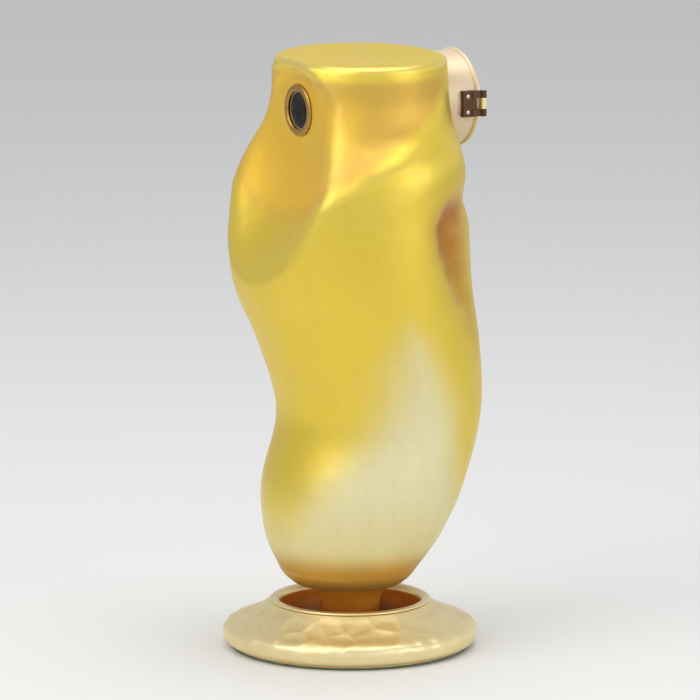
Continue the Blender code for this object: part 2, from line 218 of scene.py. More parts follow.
def body_gold():
    """Satin gilding: painted shade in deep gold above the brow, lemon below, a painted pale reflection on
    the belly, painted brown shade in the valley.
    """
    gold = Finish("satin_gilding", LEMON_GOLD, 0.36, 0.9)
    drift = gold.clouds(9.0, 3.0) - 0.5
    deep = (gold.attribute("deep") + drift * 0.4).between(0.15, 0.85)
    belly_reflection = (gold.attribute("belly_reflection") + drift * 0.35).between(-0.05, 1.05)
    valley_shade = (gold.attribute("valley_shade") + drift * 0.22).between(0.0, 1.05)
    well_reflection = (gold.attribute("well_reflection") + drift * 0.3).between(0.0, 0.9)
    # painted shade: deeper gold above the brow, a brighter orange inside the dish
    colour = gold.mix(deep, LEMON_GOLD, BROW_SHADE_GOLD)
    colour = gold.mix(gold.attribute("dished"), colour, DISH_SHADE_GOLD)
    # painted reflection: pale gold on the belly, which is also less metallic and rougher there
    colour = gold.mix(belly_reflection, colour, PALE_REFLECTION_GOLD)
    # painted shade: brown in the valley, which is also less metallic there
    colour = gold.mix(valley_shade * 0.9, colour, VALLEY_SHADE_BROWN)
    # painted reflection and shade: a warm orange towards the bottom, from the orange well below
    colour = gold.mix(well_reflection * 0.95, colour, REFLECTED_AMBER)
    rubbed = gold.clouds(130.0, 6.0, 0.7)
    wiped = gold.clouds(30.0, 5.0, 0.6, (1, 1, 0.3))
    brushed = gold.clouds(90.0, 6.0, 0.75, (1, 1, 9))
    specks = gold.clouds(700.0, 3.0, 0.6)
    colour = gold.mix((wiped * 0.5 + rubbed * 0.5).between(0.48, 0.72) * 0.16, colour, (0.54, 0.36, 0.09))
    colour = gold.mix(specks.between(0.62, 0.72) * 0.14, colour, (0.46, 0.30, 0.09))
    # painted shade in the hollows of the skin
    colour = gold.mix(gold.attribute("crease_shade") * 0.45, colour, (0.40, 0.20, 0.04))
    colour = gold.mix(gold.attribute("worn") * 0.35, colour, (0.95, 0.80, 0.36))
    gold.set(base_color=colour, metallic=0.86 - 0.3 * belly_reflection - 0.3 * valley_shade,
             roughness=0.27 + 0.06 * deep + 0.13 * belly_reflection + 0.16 * wiped + 0.12 * brushed
             - 0.08 * gold.attribute("worn") + 0.06 * gold.height().between(0.782, 0.7855))
    planished = gold.bump(gold.cells(62.0), 0.0007, 0.5)
    gold.set(normal=gold.bump(brushed, 0.00012, 0.5, planished))
    return gold.material


def pale_gilding(name, colour, spun=False):
    """Champagne gilding, darker where a hammer mark is deep, bright where it is worn."""
    gilt = Finish(name, colour, 0.3, 0.84)
    drift = gilt.clouds(14.0, 4.0)
    rubbed = gilt.clouds(220.0, 5.0, 0.65)
    shade = gilt.mix(drift.between(0.35, 0.7) * 0.35, colour, tuple(c * 0.82 for c in colour))
    shade = gilt.mix(gilt.attribute("hollow") * 0.22, shade, (0.68, 0.45, 0.14))
    # painted shade in the hollows
    shade = gilt.mix(gilt.attribute("crease_shade") * 0.6, shade, (0.36, 0.20, 0.07))
    shade = gilt.mix(gilt.attribute("worn") * 0.5, shade, (0.96, 0.86, 0.56))
    gilt.set(base_color=shade, roughness=0.29 + 0.14 * drift + 0.08 * rubbed)
    stretch = (1, 1, 0.04) if spun else (1, 1, 1)
    gilt.set(normal=gilt.bump(gilt.clouds(700.0, 3.0, 0.6, stretch), 0.00006, 0.6))
    return gilt.material


def ember_lacquer(name, low, high, dark, bright):
    """Burnt-orange lacquer, darkened to a red-brown towards the bottom of the well with painted shade."""
    ember = Finish(name, bright, 0.3, 0.5)
    ragged = ember.clouds(22.0, 4.0, 0.6)
    drift = 24.0               # how far the noise moves the border of the painted shade, in millimetres
    clear_of_shade = (ember.height() * 1000.0 + ragged * drift).between(low + drift / 2, high + drift / 2)
    # painted shade: darker towards the bottom
    colour = ember.mix(clear_of_shade, dark, bright)
    speck = ember.clouds(380.0, 4.0, 0.7).between(0.60, 0.72)
    colour = ember.mix(speck * 0.3, colour, (0.55, 0.25, 0.06))
    gilt = ember.attribute("gilt").between(0.3, 0.7)
    colour = ember.mix(gilt, colour, CHAMPAGNE)
    ember.set(base_color=colour, metallic=0.15 + 0.8 * gilt, roughness=0.26 + 0.22 * ragged,
              normal=ember.bump(ember.clouds(420.0, 3.0), 0.00008, 0.5))
    return ember.material


def cream_enamel():
    """Warm cream satin enamel with faint clouds and a fine orange-peel surface."""
    cream = Finish("cream_satin", CREAM, 0.35, 0.25, coat_weight=0.25, coat_roughness=0.25)
    drift = cream.clouds(26.0, 4.0)
    blush = cream.mix(drift.between(0.35, 0.7), CREAM, (0.72, 0.55, 0.39))
    speck = cream.clouds(480.0, 4.0, 0.7).between(0.66, 0.74)
    blush = cream.mix(cream.attribute("worn") * 0.6, blush, (0.80, 0.60, 0.30))
    # painted shade in the hollows
    blush = cream.mix(cream.attribute("crease_shade") * 0.7, blush, (0.42, 0.27, 0.15))
    cream.set(base_color=cream.mix(speck * 0.35, blush, (0.55, 0.36, 0.18)), roughness=0.30 + 0.16 * drift,
              normal=cream.bump(cream.clouds(650.0, 2.0), 0.00005, 0.6))
    return cream.material


def worked_metal(name, colour, roughness, stretch=(1, 1, 1), tarnish=(0.2, 0.12, 0.05), amount=0.25,
                 worn=None):
    """Bare metal with tool marks along one direction, tarnish in patches, painted shade in its corners and
    bright worn edges.
    """
    metal = Finish(name, colour, roughness, 1.0)
    patches = metal.clouds(40.0, 5.0, 0.6)
    lines = metal.clouds(500.0, 3.0, 0.6, stretch)
    shade = metal.mix(patches.between(0.5, 0.78) * amount, colour, tarnish)
    # painted shade in the hollows
    shade = metal.mix(metal.attribute("crease_shade") * 0.6, shade, tuple(c * 0.5 for c in tarnish))
    shade = metal.mix(metal.attribute("worn") * 0.6, shade, worn or tuple(c ** 0.6 for c in colour))
    metal.set(base_color=shade, roughness=roughness - 0.06 + 0.14 * patches + 0.08 * lines,
              normal=metal.bump(lines, 0.00005, 0.7))
    return metal.material


def cast_iron():
    iron = Finish("ballast_iron", (0.06, 0.06, 0.065), 0.65, 0.7)
    skin = iron.clouds(260.0, 5.0, 0.65)
    iron.set(base_color=iron.mix(skin.between(0.5, 0.7), (0.05, 0.05, 0.055), (0.13, 0.10, 0.085)),
             roughness=0.5 + 0.3 * skin, normal=iron.bump(skin, 0.0004, 0.8))
    return iron.material


def felt():
    cloth = Finish("green_felt", (0.05, 0.13, 0.075), 0.95, 0.0, sheen_weight=0.6, sheen_roughness=0.5)
    fibres = cloth.clouds(1400.0, 6.0, 0.75)
    cloth.set(base_color=cloth.mix(fibres.between(0.3, 0.7), (0.025, 0.07, 0.04), (0.09, 0.20, 0.12)),
              normal=cloth.bump(fibres, 0.0004, 0.8))
    return cloth.material


def crystal():
    """Clear polished glass with a breath of dust."""
    glass = Finish("crystal", (0.97, 0.99, 0.98), 0.02, 0.0, ior=1.16, transmission_weight=1.0)
    dust = glass.clouds(120.0, 5.0, 0.7)
    glass.set(roughness=0.015 + 0.05 * dust.between(0.55, 0.8))
    return glass.material


FINISHES = {
    "rich_gold": body_gold(),
    "pale_gold": pale_gilding("champagne_gilding", CHAMPAGNE),
    "ember_lacquer": ember_lacquer("ember_lacquer", 20, 54, (0.17, 0.026, 0.006), (0.90, 0.34, 0.015)),
    "cream_satin": cream_enamel(),
    "bare_brass": worked_metal("bare_brass", (0.70, 0.50, 0.20), 0.34),
    "dark_bronze": worked_metal("dark_bronze", (0.12, 0.065, 0.035), 0.4, tarnish=(0.04, 0.03, 0.025)),
    "bright_steel": worked_metal("bright_steel", (0.60, 0.60, 0.61), 0.28, (0.1, 1, 0.1),
                                 tarnish=(0.3, 0.28, 0.26)),
    "silver_gilt": worked_metal("silver_gilt", (0.92, 0.80, 0.50), 0.2, tarnish=(0.6, 0.42, 0.2),
                                amount=0.3),
    "crystal": crystal(),
    "green_felt": felt(),
    "ballast_iron": cast_iron(),
}
SPUN_GILDING = pale_gilding("spun_gilding", CHAMPAGNE, spun=True)
# the stem's lacquer, darker towards its foot with painted shade
FIRED_STEM = ember_lacquer("fired_stem", 30, 76, (0.22, 0.032, 0.006), (0.86, 0.36, 0.025))
# painted shade: the window's rim is dark brown to stand in for the shadow round the hole; its worn edges are
# bright
SHADE_DARK_RIM = worked_metal("antiqued_rim", (0.36, 0.20, 0.055), 0.3, tarnish=(0.10, 0.05, 0.02),
                            amount=0.8, worn=(0.86, 0.60, 0.16))


# ---- mesh helpers ---------------------------------------------------------------------------------------
def softened(outline, reach, steps=3):
    """Round the corners of an outline of (radius, height) points, except where it meets the axis."""
    soft = []
    for k, corner in enumerate(outline):
        if corner[0] == 0:
            soft.append(corner)
            continue
        here = Vector(corner)
        before = Vector(outline[k - 1]) - here
        after = Vector(outline[(k + 1) % len(outline)]) - here
        start = here + before.normalized() * min(reach, before.length * 0.45)
        end = here + after.normalized() * min(reach, after.length * 0.45)
        for i in range(steps + 1):
            t = i / steps
            soft.append(tuple((1 - t) ** 2 * start + 2 * t * (1 - t) * here + t ** 2 * end))
    return soft


def smooth_path(points, spacing):
    """A smooth curve through the points, sampled about every spacing."""
    path = []
    for k in range(len(points) - 1):
        a, b = Vector(points[k]), Vector(points[k + 1])
        before, after = Vector(points[max(k - 1, 0)]), Vector(points[min(k + 2, len(points) - 1)])
        count = max(1, round((b - a).length / spacing))
        for i in range(count):
            t = i / count
            path.append(0.5 * (2 * a + (b - before) * t + (2 * before - 5 * a + 4 * b - after) * t ** 2
                               + (3 * a - before - 3 * b + after) * t ** 3))
    path.append(Vector(points[-1]))
    return [tuple(p) for p in path]


def stood(shape, axis, centre):
    """Turn a shape made round Z to stand round the axis, and move it to the centre."""
    turns = {"Z": Matrix.Identity(4), "Y": Matrix.Rotation(-math.pi / 2, 4, "X")}
    bmesh.ops.transform(shape, matrix=Matrix.Translation(centre) @ turns[axis], verts=shape.verts)
    return shape


def lathe(outline, steps=96, closed=True, axis="Z", centre=(0, 0, 0)):
    """Spin (radius, height) points round an axis. A closed outline makes a solid, an open one a skin."""
    shape = bmesh.new()
    verts = [shape.verts.new((r, 0, h)) for r, h in outline]
    edges = [shape.edges.new(pair) for pair in zip(verts, verts[1:])]
    if closed and outline[0][0] > 0:
        edges.append(shape.edges.new((verts[-1], verts[0])))
    bmesh.ops.spin(shape, geom=verts + edges, cent=(0, 0, 0), axis=(0, 0, 1), angle=2 * math.pi,
                   steps=steps, use_merge=True)
    bmesh.ops.remove_doubles(shape, verts=shape.verts, dist=0.001)
    bmesh.ops.recalc_face_normals(shape, faces=shape.faces)
    return stood(shape, axis, centre)


def soft_lathe(outline, reach=0.4, steps=96, **where):
    """A lathed solid with its corners rounded."""
    return lathe(softened(outline, reach), steps, **where)


def soft_block(low, high, reach=0.6):
    """A block between two corners with its edges rounded."""
    shape = bmesh.new()
    size = [b - a for a, b in zip(low, high)]
    middle = [(a + b) / 2 for a, b in zip(low, high)]
    place = Matrix.Translation(middle) @ Matrix.Diagonal((*size, 1.0))
    bmesh.ops.create_cube(shape, size=1.0, matrix=place)
    bmesh.ops.bevel(shape, geom=shape.edges[:], offset=reach, segments=3, profile=0.5, affect="EDGES",
                    material=-1)
    return shape


def gathered(*shapes):
    """Put several shapes into the first one."""
    whole = shapes[0]
    for other in shapes[1:]:
        mesh = bpy.data.meshes.new("part")
        other.to_mesh(mesh)
        other.free()
        whole.from_mesh(mesh)
        bpy.data.meshes.remove(mesh)
    return whole


def edge_marks(shape, edge):
    """For each vertex how far it stands out (minus) or lies in (plus); edge is a full edge's bend per mm."""
    shape.normal_update()
    marks = []
    for vert in shape.verts:
        steps = [e.other_vert(vert).co - vert.co for e in vert.link_edges]
        bend = sum(step.dot(vert.normal) / step.length_squared for step in steps) / len(steps)
        marks.append(min(max(bend / edge, -1), 1))
    return marks


def piece(name, shape, material, body, stands_for, sharp=40, edge=0.3):
    """Finish a shape: metres, smooth shading, a material, and its place in the frame."""
    marks = edge_marks(shape, edge)
    bmesh.ops.scale(shape, vec=(MM, MM, MM), verts=shape.verts)
    mesh = bpy.data.meshes.new(name)
    shape.to_mesh(mesh)
    shape.free()
    mesh.shade_smooth()
    mesh.set_sharp_from_angle(angle=math.radians(sharp))
    mesh.materials.append(material)
    made = bpy.data.objects.new(name, mesh)
    bpy.context.scene.collection.objects.link(made)
    # convex vertices get wear in the finishes, hollow ones get painted shade
    note(made, "worn", [max(-mark, 0) for mark in marks])
    note(made, "crease_shade", [max(mark, 0) for mark in marks])
    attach(made, body)
    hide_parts(*stands_for)
    return made


def give_wall(made, thickness):
    """Turn an open skin into sheet metal, with the skin as its outer face."""
    wall = made.modifiers.new("wall", "SOLIDIFY")
    wall.thickness = thickness * MM
    wall.offset = -1
    wall.use_even_offset = True


def note(made, name, amounts):
    """Keep one number per vertex for the made piece's material."""
    layer = made.data.attributes.new(name, "FLOAT", "POINT")
    layer.data.foreach_set("value", amounts)


# ---- the body -------------------------------------------------------------------------------------------
def section(z):
    """Centre line, half depth and half width at a height, on a smooth curve through the sections."""
    rows = BODY_SECTIONS
    z = min(max(z, rows[0][0]), rows[-1][0])
    i = max(k for k in range(len(rows) - 1) if rows[k][0] <= z)
    low, high = rows[i], rows[i + 1]
    before, after = rows[max(i - 1, 0)], rows[min(i + 2, len(rows) - 1)]
    span = high[0] - low[0]
    t = (z - low[0]) / span
    values = []
    for k in (1, 2, 3):
        slope_low = (high[k] - before[k]) / (high[0] - before[0]) * span
        slope_high = (after[k] - low[k]) / (after[0] - low[0]) * span
        values.append((2 * t ** 3 - 3 * t ** 2 + 1) * low[k] + (t ** 3 - 2 * t ** 2 + t) * slope_low
                      + (3 * t ** 2 - 2 * t ** 3) * high[k] + (t ** 3 - t ** 2) * slope_high)
    return values


def from_front(bearing):
    """A bearing's angle from the front, 0 to 180 degrees, the same on both flanks."""
    return abs((bearing + 180) % 360 - 180)


def bell(offset, width):
    return math.exp(-(offset / width) ** 2 / 2)


def ease(t):
    t = min(max(t, 0), 1)
    return t * t * (3 - 2 * t)


def beside(route, side, z, reach):
    """A route's share at a point of the skin, falling off over the reach to either side."""
    spot = Vector((side * AROUND, z))
    deepest = 0.0
    for (bearing_a, a, share_a), (bearing_b, b, share_b) in zip(route, route[1:]):
        start = Vector((bearing_a * AROUND, a))
        run = Vector((bearing_b * AROUND, b)) - start
        t = min(max((spot - start).dot(run) / run.length_squared, 0), 1)
        away = (spot - start - run * t).length
        deepest += ((share_a + (share_b - share_a) * t) * math.exp(-(away / reach) ** 2)) ** 5
    return min(deepest ** 0.2, 1.1)


def rounded(side, soft=25):
    """A bearing eased near 0 and 180 degrees, so that a line doesn't kink where the flanks meet."""
    near = min(side, 180 - side)
    eased = (soft + near * near / soft) / 2 if near < soft else near
    return eased if side < 90 else 180 - eased


def above_brow(side, z):
    return z - BROW_START - BROW_CLIMB * rounded(side)


def brow_share(side):
    """The brow fades out behind the cheek."""
    return 1 - ease((side - BROW_END) / BROW_FADE)


def brow(side, z):
    """0 below the brow, 1 above it."""
    return ease(above_brow(side, z) / BROW_WIDTH + 0.5) * brow_share(side)


def swell(bearing, z):
    """How far the skin stands out from its sections."""
    side = from_front(bearing)
    bumps = sum(amount * bell(side - at, wide) * bell(z - height, tall)
                for at, height, wide, tall, amount in SWELLS)
    crest = BROW_CREST * bell(above_brow(side, z) + CREST_DROP, CREST_WIDTH) * brow_share(side)
    step = BROW_STEP * brow(side, z) * (1 - ease((z - 735) / 40))
    return bumps + crest - step - VALLEY_DEPTH * beside(VALLEY, side, z, VALLEY_REACH)


def dish(x, y, z):
    """Press the hollow round the window into the front; its floor is flat near the window."""
    away = math.hypot(x, z - HEAD_Z)
    rise = 0.0
    if away > SEAT_R:
        upright = DISH_UP if z > HEAD_Z else DISH_DOWN
        rate = upright * ((z - HEAD_Z) / away) ** 2 + DISH_SIDE * (x / away) ** 2
        rise = rate * (away - SEAT_R) ** 2
    floor_y = SEAT_Y - rise
    overlap = max(DISH_BLEND - abs(y - floor_y), 0) / DISH_BLEND
    return max(y, floor_y) + overlap ** 2 * DISH_BLEND / 4


def skin_point(bearing, z, share=1.0):
    """A point of the body's skin; past the full sections, share draws it in and z sets its height."""
    centre_y, half_depth, half_width = section(z)
    angle = math.radians(bearing)
    level = min(max(z, BODY_SECTIONS[0][0]), BODY_SECTIONS[-1][0])
    push = swell(bearing, level) * share
    x = (half_width * share + push) * math.sin(angle)
    y = centre_y - (half_depth * share + push) * math.cos(angle)
    return Vector((x, dish(x, y, level), z))


def meridian():
    """(height, share) all the way from the hole in the floor to the top of the crown."""
    low, high = BODY_SECTIONS[0][0], BODY_SECTIONS[-1][0]
    count = round((high - low) / BODY_RISE)
    walls = [(low + (high - low) * k / count, 1.0) for k in range(count + 1)]
    reach = 110.0              # turns a share into millimetres, so that both are sampled alike
    floor = smooth_path([(z, s * reach) for z, s in (*FLOOR_PATH, walls[0])], BODY_RISE * 1.5)
    crown = smooth_path([(z, s * reach) for z, s in (walls[-1], *CROWN_PATH)], BODY_RISE)
    return [(z, s / reach) for z, s in floor[:-1]] + walls + [(z, s / reach) for z, s in crown[1:]]


def open_round(shape, side, radius):
    """Cut a round hole about the head's axis through the front (-1) or back (1) of the skin."""
    def away(vert):
        return math.hypot(vert.co.x, vert.co.z - HEAD_Z)

    inside = [v for v in shape.verts if v.co.y * side > 20 and away(v) < radius]
    bmesh.ops.delete(shape, geom=inside, context="VERTS")
    edge = {v for e in shape.edges if e.is_boundary for v in e.verts if v.co.y * side > 20}
    for vert in (v for v in edge if away(v) < radius + 3 * BODY_RISE):
        grow = radius / away(vert)
        x, z = vert.co.x * grow, HEAD_Z + (vert.co.z - HEAD_Z) * grow
        bearing = math.degrees(math.asin(x / section(z)[2]))
        for _ in range(4):         # the swell depends on the bearing, so close in on it
            width = section(z)[2] + swell(bearing if side < 0 else 180 - bearing, z)
            bearing = math.degrees(math.asin(x / width))
        vert.co = skin_point(bearing if side < 0 else 180 - bearing, z)


def spread(z):
    """How far forwards from its bearing the painted pale reflection on the belly reaches at a height."""
    z = min(max(z, PALE_SPREAD[0][0]), PALE_SPREAD[-1][0] - 0.01)
    for (low, wide_low), (high, wide_high) in zip(PALE_SPREAD, PALE_SPREAD[1:]):
        if z < high:
            return wide_low + (wide_high - wide_low) * max(z - low, 0) / (high - low)


def tones(spot):
    """How much of each painted tone goes on the gilding at a point of the skin: brow shade, belly
    reflection, valley shade, well reflection.
    """
    x, y, z = spot
    centre_y, half_depth, half_width = section(z)
    across = min(abs(x) / half_width, 1)
    side = math.degrees(math.atan2(across, (centre_y - y) / half_depth))
    # inside the dish the skin lies far behind its section, so there the bearing comes from x alone
    sunk = y - centre_y + half_depth * math.sqrt(1 - across ** 2)
    dished = ease((sunk - 2) / 12) * (1 - ease((across - 0.7) / 0.2)) if y < centre_y else 0
    side += (math.degrees(math.asin(across)) - side) * dished
    deep = brow(side, z) * (1 - 0.85 * ease((z - 756) / 18))       # painted highlight: lemon again along the crown's edge, where the painted shade fades
    off = rounded(side) - PALE_BEARING
    belly_reflection = ease((spread(z) - max(-off, off * PALE_HURRY)) / PALE_EDGE + 0.5)
    belly_reflection *= 0.66 + 0.34 * ease((z - 120) / 130)                   # yellower towards the foot
    # the warm orange towards the bottom is a painted reflection of the orange well
    return {"deep": deep, "belly_reflection": belly_reflection, "valley_shade": beside(VALLEY_SHADE_ROUTE, side, z, VALLEY_SHADE_REACH),
            "well_reflection": ease((156 - z) / 62), "dished": deep * dished}


def raised_body():
    """One gilt skin over both shells, open for the window and the port."""
    rows = meridian()
    shape = bmesh.new()
    bmesh.ops.create_cone(shape, cap_ends=False, segments=BODY_AROUND, radius1=1, radius2=1, depth=1,
                          matrix=Matrix.Translation((0, 0, 0.5)))
    upright = [e for e in shape.edges if abs(e.verts[0].co.z - e.verts[1].co.z) > 0.5]
    bmesh.ops.subdivide_edges(shape, edges=upright, cuts=len(rows) - 2, use_grid_fill=True)
    for vert in shape.verts:
        z, share = rows[round(vert.co.z * (len(rows) - 1))]
        vert.co = skin_point(math.degrees(math.atan2(vert.co.x, -vert.co.y)), z, share)
    pole = Vector(CROWN_POLE)
    top = [v for v in shape.verts if v.co.z > 780 and (v.co - pole).xy.length < 4]
    bmesh.ops.pointmerge(shape, verts=top, merge_co=pole)
    open_round(shape, -1, WINDOW_HOLE)
    open_round(shape, 1, PORT_HOLE)
    bmesh.ops.recalc_face_normals(shape, faces=shape.faces)
    shape.normal_update()
    for vert in shape.verts:
        if math.hypot(vert.co.x, vert.co.z - HEAD_Z) > 70:
            vert.co += vert.normal * WAVER * noise.noise(vert.co / WAVER_SPACING)
    made = piece("raised_body", shape, FINISHES["rich_gold"], "body", ["lower_body", "upper_body"],
                 sharp=60, edge=0.045)
    marks = [tones(v.co / MM) for v in made.data.vertices]
    for name in marks[0]:
        note(made, name, [mark[name] for mark in marks])
    give_wall(made, BODY_WALL)


# ---- the foot -------------------------------------------------------------------------------------------
FOOT_PATH = ((96.5, 55), (98.2, 59.5), (101, 61), (105, 59.6), (118, 50), (140, 38.5), (159, 31.8),
             (165.5, 27), (167.5, 21), (165.8, 11.5), (160, 5.1), (146, 5.1))
HAMMER_CELL = 36.0             # size of one hammer mark on the foot
HAMMER_RISE, HAMMER_DEPTH = 1.0, 2.6


def hammered_foot():
    """Spun ring whose upper face is beaten into broad shallow facets."""
    shape = lathe(smooth_path(FOOT_PATH, 2.6), steps=320, closed=False)
    depths = []
    shape.normal_update()
    for vert in shape.verts:
        reach = math.hypot(vert.co.x, vert.co.y)
        low_fade = min(max((vert.co.z - 9) / 12, 0), 1)
        lip_fade = min(max((reach - 101) / 10, 0), 1)
        near = noise.voronoi(vert.co / HAMMER_CELL)[0]
        mark = (near[1] - near[0]) * low_fade * lip_fade
        depths.append((mark, low_fade * lip_fade, vert.normal.copy()))
    for vert, (mark, fade, normal) in zip(shape.verts, depths):
        vert.co += normal * (HAMMER_RISE * fade - HAMMER_DEPTH * min(mark, 0.7))
    made = piece("hammered_foot", shape, FINISHES["pale_gold"], "body", ["foot_ring"],
                 sharp=60, edge=0.12)
    note(made, "hollow", [min(mark * 1.2, 1) for mark, _, _ in depths])
    give_wall(made, FOOT_WALL)


def foot_pieces():
    hammered_foot()
    well_path = ((6.5, 19.8), (40, 19.8), (77, 19.8), (87, 25.5), (92, 43), (93, 57), (96, 63),
                 (101.5, 64.2), (106, 61.9))
    well = piece("well_liner", lathe(smooth_path(well_path, 2.5), steps=200, closed=False),
                 FINISHES["ember_lacquer"], "body", ["foot_well"], sharp=60)
    note(well, "gilt", [min(max((v.co.z / MM - 54) / 4, 0), 1) for v in well.data.vertices])
    give_wall(well, WELL_WALL)

    stem_path = smooth_path(((57, 83.6), (50, 78), (42, 68), (39, 52), (41, 34), (47, 27), (49, 23.5),
                             (47, 20.1)), 2.0)
    piece("stem_collar", lathe(stem_path + [(34, 20.1), (34, 83.6)], 144), FIRED_STEM,
          "body", ["stem"])
    piece("felt_disc", soft_lathe([(0, 1.5), (158, 1.5), (158, 0), (0, 0)], 0.6, 200),
          FINISHES["green_felt"], "body", ["felt_pad"])


# ---- window, rails and carriage -------------------------------------------------------------------------
def window_pieces():
    piece("window_rim", soft_lathe([
        (28.5, -66), (28.5, -77.6), (34, -77.6), (34, -79), (31, -80.8), (27, -80.8), (25, -79.2),
        (25, -77.6), (27, -77.6), (27, -66)], 0.7, 144, **HEAD_AXIS),
        SHADE_DARK_RIM, "body", ["window_bezel"])
    piece("window_crystal", soft_lathe([(0, -75.3), (26.6, -75.3), (26.6, -77.3), (0, -77.3)], 0.3, 128,
                                       **HEAD_AXIS),
          FINISHES["crystal"], "body", ["window_glass"])
    for name, node, outer, inner, low, high in (
            ("retaining_ring", "glass_retainer", 26.6, 23.5, -75.0, -72.0),
            ("sleeve_nut", "window_ring_nut", 36, 28.9, -72.4, -68.4)):
        ring = [(outer, high), (outer, low), (inner, low), (inner, high)]
        piece(name, soft_lathe(ring, 0.5, 128, **HEAD_AXIS), FINISHES["bare_brass"], "body", [node])


def rails():
    for name, side in (("left", -1), ("right", 1)):
        rod = soft_lathe([(0, 94.7), (3, 94.7), (3, -74.9), (0, -74.9)], 0.6, 40, axis="Y",
                         centre=(side * 22, 0, 655))
        piece(f"rail_{name}", rod, FINISHES["bright_steel"], "body", [f"guide_rod_{name}"])


# ---- the luna -------------------------------------------------------------------------------------------
STEM_Y = -41.25
LUNA_PIN = (36.9, -37.35, 0)


def upright(radius, low, high, centre, steps=40):
    return soft_lathe([(0, high), (radius, high), (radius, low), (0, low)], 0.35, steps, centre=centre)


def barrel(outer, inner, low, high, centre):
    return soft_lathe([(outer, high), (outer, low), (inner, low), (inner, high)], 0.3, 40, centre=centre)


def luna_pieces():
    silver = FINISHES["silver_gilt"]
    case = gathered(
        soft_lathe([(34, -37.5), (34, -43.5), (32, -45), (26, -45), (26, -42.8), (29.3, -42.8),
                    (29.3, -37.5)], 0.5, 144, **HEAD_AXIS),
        soft_lathe([(0, 687), (3.6, 687), (3.6, 683.4), (6.5, 683.4), (6.5, 680.3), (4, 680.3),
                    (4, 666.3), (0, 666.3)], 0.7, 48, centre=(0, STEM_Y, 0)),
        *(barrel(2.6, 1.3, low, high, LUNA_PIN) for low, high in ((708, 714), (726, 732))),
        *(soft_block((31.5, -41.5, low), (35.6, -38.0, low + 5.9), 0.4) for low in (708.05, 726.05)))
    piece("luna_ring", case, silver, "luna", ["luna_case"])
    door = gathered(
        soft_lathe([(34, -33.8), (34, -37.2), (29.3, -37.2), (29.3, -35.0), (26, -35.0), (26, -32.5),
                    (32, -32.5)], 0.5, 144, **HEAD_AXIS),
        barrel(2.6, 1.3, 714.4, 725.6, LUNA_PIN),
        soft_block((31.5, -36.9, 714.45), (35.6, -34.6, 725.55), 0.4))
    piece("luna_back_ring", door, silver, "luna_door", ["luna_door_ring"])
    for name, body, node, low, high in (
            ("luna_front_crystal", "luna", "luna_front_glass", -42.5, -40.8),
            ("luna_back_crystal", "luna_door", "luna_rear_glass", -37.0, -35.3)):
        disc = soft_lathe([(0, high), (29.0, high), (29.0, low), (0, low)], 0.25, 128, **HEAD_AXIS)
        piece(name, disc, FINISHES["crystal"], body, [node])
    clip = soft_lathe([(28.9, -38.0), (28.9, -40.4), (25.5, -40.4), (25.5, -38.0)], 0.6, 144, **HEAD_AXIS)
    everything = clip.verts[:] + clip.edges[:] + clip.faces[:]
    bmesh.ops.bisect_plane(clip, geom=everything, plane_co=(0, 0, HEAD_Z + 4), plane_no=(0, 0, 1),
                           clear_outer=True)
    bmesh.ops.holes_fill(clip, edges=[e for e in clip.edges if e.is_boundary])
    piece("host_crescent", clip, silver, "luna", ["lunette_clip"])
    piece("luna_pin", upright(1.0, 707, 733, LUNA_PIN, 24), FINISHES["bright_steel"], "luna",
          ["luna_hinge_pin"])


# ---- the port -------------------------------------------------------------------------------------------
DOOR_PIN = (69.0, 161.8, 0)


def slotted_screw(radius, height, spot, slot=0.35):
    """A screw head that stands out along +X, with an upright slot across it."""
    head = soft_lathe([(0, height), (radius, height), (radius, 0), (0, 0)], 0.35, 40)
    cheeks = []
    for side in (-1, 1):
        cheek = head.copy()
        everything = cheek.verts[:] + cheek.edges[:] + cheek.faces[:]
        bmesh.ops.bisect_plane(cheek, geom=everything, plane_co=(slot * side, 0, 0), plane_no=(-side, 0, 0),
                               clear_outer=True)
        bmesh.ops.holes_fill(cheek, edges=[e for e in cheek.edges if e.is_boundary])
        cheeks.append(cheek)
    head.free()
    low, inner = height * 0.5, radius * 0.9
    floor = soft_lathe([(0, low), (inner, low), (inner, 0), (0, 0)], 0.1, 40)
    whole = gathered(floor, *cheeks)
    turn = Matrix.Rotation(math.pi / 2, 4, "Y")
    bmesh.ops.transform(whole, matrix=Matrix.Translation(spot) @ turn, verts=whole.verts)
    return whole


